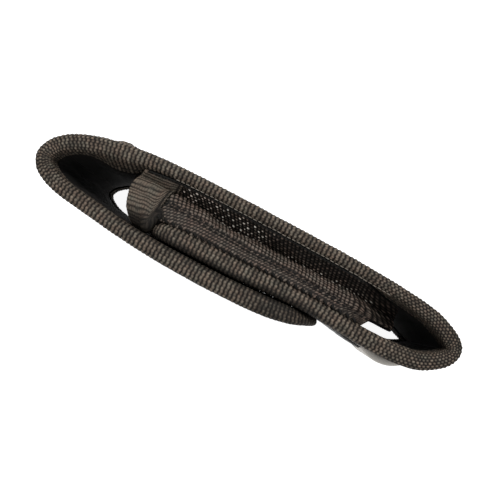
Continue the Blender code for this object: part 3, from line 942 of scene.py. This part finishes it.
def make_gusset_tape(side):
    """Ribbed tape folded over the gusset's top edge."""
    rows, count = 40, 130
    ways = np.linspace(-0.6, 12.0, 90)
    lines = gusset_lines(np.clip(ways / GUSSET_LENGTH, 0.0, 1.0), side)
    lines[:, :, 0] += np.minimum(ways, 0.0)[:, None]
    grid, knots = resample(lines, count)
    v = np.linspace(0, 1, count)[None, :] * knots[:1, -1:]
    # the tape's lower selvedge slants, so the back end reaches further down than the front end
    reached = np.linspace(0, 1, count)[None, :]
    wide = np.interp(reached, (0.0, 0.35, 0.6, 0.8, 1.0), (11.4, 10.2, 9.3, 9.2, 11.8))
    u = -0.6 + (wide + 0.6) * np.linspace(0, 1, rows)[:, None]
    points = np.empty((rows, count, 3))
    for c in range(count):
        for axis in range(3):
            points[:, c, axis] = np.interp(u[:, c], ways, grid[:, c, axis])
    v = np.repeat(v, rows, axis=0)
    normal = grid_normals(points)
    if (normal[..., 2].mean() > 0) != (side == "right"):
        normal = -normal
    ribs = np.abs(np.sin(np.pi * (v / 1.05 + 0.05 * np.sin(2.2 * u)))) ** 0.6
    seam = mark(u - wide, -0.8, 0.3)
    fine = np.abs(np.sin(np.pi * (u / 0.7 + 0.5 * (np.floor(v / 1.05) % 2)))) ** 0.6
    # the tape is painted darker towards its front end, as shade where it curls down
    height = (0.22 + 0.78 * ribs) * (0.56 + 0.44 * fine) * (0.95 - 0.5 * ramp(reached, 0.66, 0.86))
    taper = 0.5 + 0.5 * ramp(reached, 0.0, 0.2) * (1 - 0.7 * ramp(reached, 0.9, 1.0))
    out = (GUSSET_CLOTH / 2 + TAPE + 0.42) * taper
    puffy = 0.25 * np.sin(np.pi * np.clip(u / wide, 0, 1))
    lift = 0.24 * (height - 0.6) - 0.25 * seam + puffy
    top = points + normal * (out + lift)[..., None]
    low = points - normal * (out - 0.2 + 0.24 * (height - 0.6))[..., None]
    inner_top = points + normal * (GUSSET_CLOTH / 2 * taper)[..., None]
    inner_low = points - normal * (GUSSET_CLOTH / 2 * taper)[..., None]
    # one section along the length: over the top edge and back underneath
    ahead = points[0] - points[3]
    ahead = ahead / np.linalg.norm(ahead, axis=1, keepdims=True)
    radius = out[0] + lift[0]
    nose = [
        points[0] + normal[0] * (radius * math.cos(angle))[:, None]
        + ahead * (0.85 * radius * math.sin(angle))[:, None]
        for angle in np.linspace(0.0, math.pi, 8)[1:-1]
    ]
    path = [top[r] for r in range(rows - 1, -1, -1)] + nose + [low[r] for r in range(rows)]
    core = (3, 13, 26, rows - 1)
    path += [inner_low[r] for r in core[::-1]] + [inner_top[r] for r in core]
    rings = np.stack(path, axis=1)
    keep = slice(3, count - 1)
    rings = rings[keep]
    data = np.zeros(rings.shape)
    data[..., 1] = v[0][keep][:, None]
    bare = np.zeros((len(nose), count))
    blank = np.zeros((2 * len(core), count))
    data[..., 0] = np.concatenate([u[::-1], bare - 1.0, u, blank]).T[keep]
    high = np.concatenate([height[::-1], ribs[:1] + bare, height, blank])
    dark = np.concatenate([seam[::-1], bare, seam, blank])
    data[..., 2] = (high * (1 - 0.75 * np.clip(dark, 0, 1))).T[keep]
    return loft("gusset_top_tape_" + side, rings, data)


def gusset_threads(side):
    """Bold lock stitches where the gusset meets the front, and its fine selvedge along the back."""

    def front(q, a, b):
        slant = 0.28 * np.sin(q * 2.73)
        return at(q, from_edge(0.35 - 0.5 * a - b, side), thickness(q) + 0.4 + a + slant)

    def back(q, a, b):
        return at(q, from_edge(0.95 - b, side), thickness(q) + 0.12 + a)

    first, last = along("front", -28.0), along("front", GUSSET_END_FRONT_X - 1.5)
    bold = dashes("gusset_front_stitching_" + side, [(first, last, front)], 1.5, 0.8, 0.46)
    first, last = along("back", GUSSET_END_BACK_X - 2.0), along("back", -27.0)
    fine = dashes("gusset_selvedge_" + side, [(first, last, back)], 1.3, 0.25, 0.15)
    return bold, fine


# ---------------------------------------------------------------- strap, patches and label


def strip(name, start, end, width, top, under, relief, step=0.4, rounding=0.5):
    """A flat woven strip on the band: top and under are depths as functions of s and z."""
    s = np.linspace(start, end, max(4, round((end - start) / step)) + 1)
    z = np.linspace((WIDTH - width) / 2, (WIDTH + width) / 2, round(width / step) + 1)
    run, cross = np.meshgrid(s, z, indexing="ij")
    high, lift = relief(run - start, cross - z[0])
    edge = np.minimum(np.minimum(cross - z[0], z[-1] - cross), np.minimum(run - start, end - run))
    soft = rounding * (1 - np.sqrt(np.clip(1 - (1 - np.clip(edge / 0.6, 0, 1)) ** 2, 0, 1)))
    upper = top(run, cross) - lift + soft
    lower = under(run, cross)
    return slab(name, s, cross, np.minimum(upper, lower - 0.05), lower, high)


def webbing_relief(run, cross):
    """Flat woven webbing: ribs across, split by warp yarns, with heavier edges."""
    a, b = run / 1.15, cross / 0.8
    rib = np.abs(np.sin(np.pi * (a + 0.5 * (np.floor(b) % 2)))) ** 0.6
    yarn = np.abs(np.sin(np.pi * b)) ** 0.5
    high = rib * yarn * (0.85 + 0.3 * scatter(np.floor(a), np.floor(b)))
    return high, 0.2 * high


BELT_LOOP_X = (-51.5, 30.0)
BELT_LOOP_WIDTH = 37.0
BELT_LOOP_UNDER = 0.3
TURNED_END = 7.5
TACK_LINES = 28
TACK_STEP = 1.05


def make_belt_loop():
    """The flat strap on the back, its turned end, its stitching and its two bar tacks."""
    end, start = (along("back", x) for x in BELT_LOOP_X)

    def relief(run, cross):
        high, lift = webbing_relief(run, cross)
        for row in (1.6, 4.2, end - start - 2.0, end - start - 8.0):
            lift = lift - 0.22 * mark(run, row, 0.45)
        return high, lift + 0.12 * swell(run, cross, 7.0, 2.0)

    def level(above):
        return lambda run, cross: BELT_LOOP_UNDER - above + 0.0 * run

    def turned(run, cross):
        roll = np.sin(np.pi * (run - end + TURNED_END) / TURNED_END)
        return BELT_LOOP_UNDER - 1.2 - 1.15 * roll

    def across(s, above):
        return lambda q, a, b: at(s + a, q, BELT_LOOP_UNDER - above - b)

    def lengthwise(z, above, slope=0.0, middle=0.0):
        return lambda q, a, b: at(q, z + a + slope * (q - middle), BELT_LOOP_UNDER - above - b)

    strap = strip(
        "belt_loop_strap", start, end, BELT_LOOP_WIDTH, level(0.95), level(0.0), relief
    )
    fold = strip(
        "belt_loop_turned_end", end - TURNED_END, end, BELT_LOOP_WIDTH, turned, level(1.1),
        webbing_relief,
    )
    rows = ((end - 1.2, 2.3), (end - 6.3, 2.3), (start + 1.6, 1.1), (start + 4.4, 1.1))
    routes = [(11.5, WIDTH - 11.5, across(s, above)) for s, above in rows]
    routes += [(start + 2.0, end - 8.5, lengthwise(z, 1.1)) for z in (11.0, WIDTH - 11.0)]
    thread = dashes("belt_loop_stitching", routes, 2.6, 0.8, 0.18)
    tacks = []
    for name, s, above in (("top", end - 4.0, 2.8), ("bottom", start + 3.0, 1.15)):
        lines = WIDTH / 2 - 14.2 + np.arange(TACK_LINES) * TACK_STEP
        routes = [(s - 1.0, s + 1.0, lengthwise(z, above, 0.35, s)) for z in lines]
        tacks.append(dashes("belt_loop_bar_tack_" + name, routes, 1.9, 0.1, 0.3))
    return strap, fold, thread, tacks


LOOP_X = (2.0, 43.0)
LOOP_WIDTH = 32.0
HOOK_X = (2.0, 19.5)
HOOK_INSET = 13.0


def tufts(seed):
    """The uneven pile of a hook-and-loop patch."""

    def relief(run, cross):
        high = scatter(np.round(run * 2.3) + seed, np.round(cross * 2.3))
        high = 0.5 * high + 0.5 * scatter(np.round(run * 1.1), np.round(cross * 1.2) + seed)
        return high, 0.32 * high - 0.1

    return relief


def make_patches():
    """The loop patch on the front and the hook patch inside the flap."""

    def under(run, cross):
        return 0.6 - 0.9 * ramp(on_path(run, 0), 30.0, 43.0)

    start, end = (along("front", x) for x in LOOP_X)
    loop = strip(
        "loop_pile", start, end, LOOP_WIDTH,
        lambda run, cross: under(run, cross) - 0.62, under, tufts(0.0), 0.45,
    )
    s = np.linspace(*(along("flap", x) for x in HOOK_X), 40)
    z = np.linspace(HOOK_INSET, WIDTH - HOOK_INSET, 68)
    run, cross = np.meshgrid(s, z, indexing="ij")
    high, rise = tufts(5.0)(run, cross)
    wide = thickness(run)
    hook = slab("hook_pile", s, cross, wide - 0.6, wide + 0.28 + 0.6 * rise, high)
    return loop, hook


LABEL_X = (43.2, 57.0)
LABEL_WIDTH = 28.0


def make_label():
    """The blank label, which stands off the front between its sewn ends."""
    start, end = (along("front", x) for x in LABEL_X)

    def bulge(run):
        return 1.9 * np.sin(np.pi * np.clip((run - start) / (end - start), 0, 1)) ** 0.8

    def relief(run, cross):
        across = np.minimum(cross, LABEL_WIDTH - cross)
        groove = mark(np.minimum(across, np.minimum(run, end - start - run)), 1.3, 0.25)
        return 1.0 - 0.8 * groove, -0.18 * groove + 0.05 * swell(run, cross, 3.0)

    return strip(
        "blank_tab", start, end, LABEL_WIDTH,
        lambda run, cross: -0.3 - bulge(run),
        lambda run, cross: 0.75 - 0.2 * bulge(run),
        relief, 0.35,
    )


# ---------------------------------------------------------------- light, floor and camera


FLOOR_Z = -0.0004
FLOOR_GLOW = 0.93
SKY_STRENGTH = 0.5
LAMPS_AIM = (0.0, 0.0, 0.03)
LAMPS = (
    # name, place, size, power
    ("key", (-0.15, 0.5, 0.8), 0.45, 9.0),
    ("fill", (0.3, -0.45, 0.8), 0.7, 2.5),
)
CAMERA_PLACE = (0.01268, -0.008685, 0.214)
CAMERA_TARGET = (0.008348, -0.007806, 0.056)
CAMERA_TURN = 25.277
CAMERA_LENS = 40.28
CAMERA_SHIFT = (-0.025, 0.073)


def make_stage():
    """A white floor and sky, and two soft lamps above."""
    scene = bpy.context.scene
    scene.view_settings.view_transform = "Standard"
    world = bpy.data.worlds.new("studio")
    world.use_nodes = True
    sky = world.node_tree.nodes["Background"]
    sky.inputs["Color"].default_value = (1.0, 1.0, 1.0, 1.0)
    sky.inputs["Strength"].default_value = SKY_STRENGTH
    scene.world = world
    bpy.ops.mesh.primitive_plane_add(size=6.0, location=(0.0, 0.0, FLOOR_Z))
    floor = bpy.context.object
    floor.name = "floor"
    m = Shader("pale_floor")
    m.finish(
        (0.4, 0.4, 0.4, 1.0), 0.9, None,
        Emission_Color=(1.0, 1.0, 1.0, 1.0), Emission_Strength=FLOOR_GLOW,
    )
    floor.data.materials.append(m.material)
    for name, place, size, power in LAMPS:
        light = bpy.data.lights.new(name, "AREA")
        light.size = size
        light.energy = power
        lamp = bpy.data.objects.new(name, light)
        lamp.location = place
        lamp.rotation_mode = "QUATERNION"
        away = Vector(place) - Vector(LAMPS_AIM)
        lamp.rotation_quaternion = away.to_track_quat("Z", "Y")
        scene.collection.objects.link(lamp)


def make_camera():
    """Looks down on the sheath's upper edge from close by."""
    data = bpy.data.cameras.new("camera")
    data.lens = CAMERA_LENS
    data.sensor_width = 36.0
    data.shift_x, data.shift_y = CAMERA_SHIFT
    data.clip_start = 0.005
    camera = bpy.data.objects.new("camera", data)
    bpy.context.scene.collection.objects.link(camera)
    place, target = Vector(CAMERA_PLACE), Vector(CAMERA_TARGET)
    turn = math.radians(CAMERA_TURN)
    back = (place - target).normalized()
    right = Vector((math.cos(turn), math.sin(turn), 0.0))
    right = (right - back * right.dot(back)).normalized()
    up = back.cross(right)
    rotation = Matrix((right, up, back)).transposed().to_4x4()
    camera.matrix_world = Matrix.Translation(place) @ rotation
    bpy.context.scene.camera = camera


# ---------------------------------------------------------------- the sheath


def dress(piece, material, nodes=(), body=None):
    """Gives a piece its material, the CAD nodes it stands for and the body it rides."""
    piece.data.materials.clear()
    piece.data.materials.append(material)
    if nodes:
        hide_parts(*nodes)
    if body:
        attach(piece, body)


def line_inside(piece, material):
    """Gives the faces of a layer's inner side a material of their own."""
    piece.data.materials.append(material)
    count = 2 * PAD_COLUMNS
    place = np.arange(len(piece.data.polygons)) % count
    inner = (place >= PAD_COLUMNS) & (place < count - 1)
    inner[-2:] = False
    piece.data.polygons.foreach_set("material_index", inner.astype(np.int32))


def make_looks():
    """Every material of the sheath."""
    return {
        "tape": yarn_material(
            "ribbed_tape", (0.003, 0.0024, 0.0019), (0.025, 0.0205, 0.0165), (0.12, 0.099, 0.08),
            0.6, (0.24, 0.205, 0.17), shine=0.15,
        ),
        "gusset": yarn_material(
            "coarse_gusset_weave", (0.0015, 0.0013, 0.001), (0.022, 0.0172, 0.0145),
            (0.135, 0.108, 0.092), 0.5, (0.55, 0.53, 0.5), shine=0.12,
        ),
        "cloth": weave_material(
            "outer_cloth", (0.004, 0.0033, 0.0027), (0.052, 0.043, 0.035), (0.95, 0.8), 0.6,
            0.0005, wear=0.5,
        ),
        "lining": plain_material(
            "smooth_lining", (0.0042, 0.0033, 0.0027), (0.0068, 0.0054, 0.0044), 0.8, 3.5,
            0.00004, shine=0.2,
        ),
        "webbing": yarn_material(
            "belt_webbing", (0.006, 0.005, 0.004), (0.06, 0.052, 0.042), (0.16, 0.14, 0.115), 0.55
        ),
        "pile": pile_material("hook_and_loop", (0.002, 0.002, 0.002), (0.022, 0.021, 0.020), 3.0),
        "label": plain_material(
            "blank_label", (0.36, 0.34, 0.31), (0.47, 0.445, 0.41), 0.5, 3.0, 0.00012
        ),
        "thread": yarn_material(
            "thread", (0.006, 0.005, 0.004), (0.016, 0.013, 0.011), (0.05, 0.042, 0.036), 0.5
        ),
        "dark thread": yarn_material(
            "dark_thread", (0.0015, 0.0012, 0.001), (0.003, 0.0025, 0.002), (0.006, 0.005, 0.004),
            0.6,
        ),
        "selvedge": yarn_material(
            "selvedge_thread", (0.04, 0.035, 0.03), (0.14, 0.125, 0.11), (0.3, 0.28, 0.25), 0.5
        ),
    }


def make_band(looks):
    """The band in three groups: pouch, crown and flap."""
    fold_back, fold_flap = along("back", FOLD_BACK_X), along("flap", FOLD_FLAP_X)
    split_one = fold_back + SPLIT_SHARE * (CROWN - fold_back)
    split_two = fold_flap + SPLIT_SHARE * (CROWN - fold_flap)
    spans = {
        "pouch": (Q_START, split_one),
        "crown": (split_one, split_two),
        "flap": (split_two, Q_END),
    }
    one_x, one_y = heading(split_one)
    two_x, two_y = heading(split_two)
    across = at(split_two, WIDTH / 2, 2.5) - at(split_one, WIDTH / 2, 2.5)
    bends = {
        "pouch": ("pouch", "crown_back", (one_x, one_y, 0.0), None, split_one),
        "crown": ("crown_back", "crown_front", across, split_one, split_two),
        "flap": ("crown_front", "flap", (two_x, two_y, 0.0), split_two, None),
    }

    def bend(piece, group):
        """Works out the span over which a piece would blend between two bodies, then only bakes its
        place into its mesh.
        """
        first, second, way, after, before = bends[group]
        way = np.array(way, float) / np.linalg.norm(way)
        home = at(split_one if before else split_two, WIDTH / 2, 2.5)

        def reached(s, pick):
            ends, depths = np.meshgrid((0.0, WIDTH), (-1.0, thickness(s) + 1.0))
            return pick((at(s, ends, depths) - home) @ way)

        start = reached(after, np.max) + BEND_MARGIN if after else None
        end = reached(before, np.min) - BEND_MARGIN if before else None
        if start is None:
            start = end - BEND_LENGTH
        if end is None:
            end = start + BEND_LENGTH
        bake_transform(piece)

    puff = simulated_puff()
    layers = ("shell", "foam", "lining")
    owners = {"pouch": ("pouch",), "crown": ("crown_back", "crown_front"), "flap": ("flap",)}
    end_tapes = {"pouch": ["mouth_binding"], "crown": [], "flap": ["flap_tip_binding"]}
    for group, (start, end) in spans.items():
        panel = pad(group + "_padding", max(start, 0.0), min(end, LENGTH), puff)
        nodes = [f"{owner}_{layer}" for owner in owners[group] for layer in layers]
        dress(panel, looks["cloth"], nodes)
        line_inside(panel, looks["lining"])
        bend(panel, group)
        for side in SIDES:
            nodes = [f"{owner}_binding_{side}" for owner in owners[group]]
            if side == "right":
                nodes += end_tapes[group]
            edging = tape(f"{group}_tape_{side}", side, start, end)
            dress(edging, looks["tape"], nodes)
            bend(edging, group)
        routes = [
            edge_route(side, start, end, face) for side in SIDES for face in ("outer", "inner")
        ]
        thread = dashes(group + "_stitching", routes)
        dress(thread, looks["thread"])
        bend(thread, group)


def make_gussets(looks):
    """Both side gussets with their top tapes and their threads."""
    for side in SIDES:
        cloth, run = make_gusset(side)
        dress(cloth, looks["gusset"], [f"gusset_{side}"], "pouch")
        edging = make_gusset_tape(side)
        dress(edging, looks["tape"], [f"gusset_tape_{side}"], "pouch")
        bold, fine = gusset_threads(side)
        dress(bold, looks["dark thread"], body="pouch")
        dress(fine, looks["selvedge"], body="pouch")


def make_fittings(looks):
    """The belt loop, the two halves of the fastener and the label."""
    strap, fold, thread, tacks = make_belt_loop()
    dress(strap, looks["webbing"], ["belt_loop"], "pouch")
    dress(fold, looks["webbing"], ["belt_loop_folded_end"], "pouch")
    dress(thread, looks["thread"], body="pouch")
    for tack, node in zip(tacks, ("belt_loop_tack_top", "belt_loop_tack_bottom")):
        dress(tack, looks["thread"], [node], "pouch")
    loop, hook = make_patches()
    dress(loop, looks["pile"], ["loop_patch"], "pouch")
    dress(hook, looks["pile"], ["hook_patch"], "flap")
    dress(make_label(), looks["label"], ["blank_label"], "pouch")


def main():
    """Builds every visual piece over the loaded frame."""
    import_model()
    make_stage()
    make_camera()
    looks = make_looks()
    make_band(looks)
    make_gussets(looks)
    make_fittings(looks)


main()
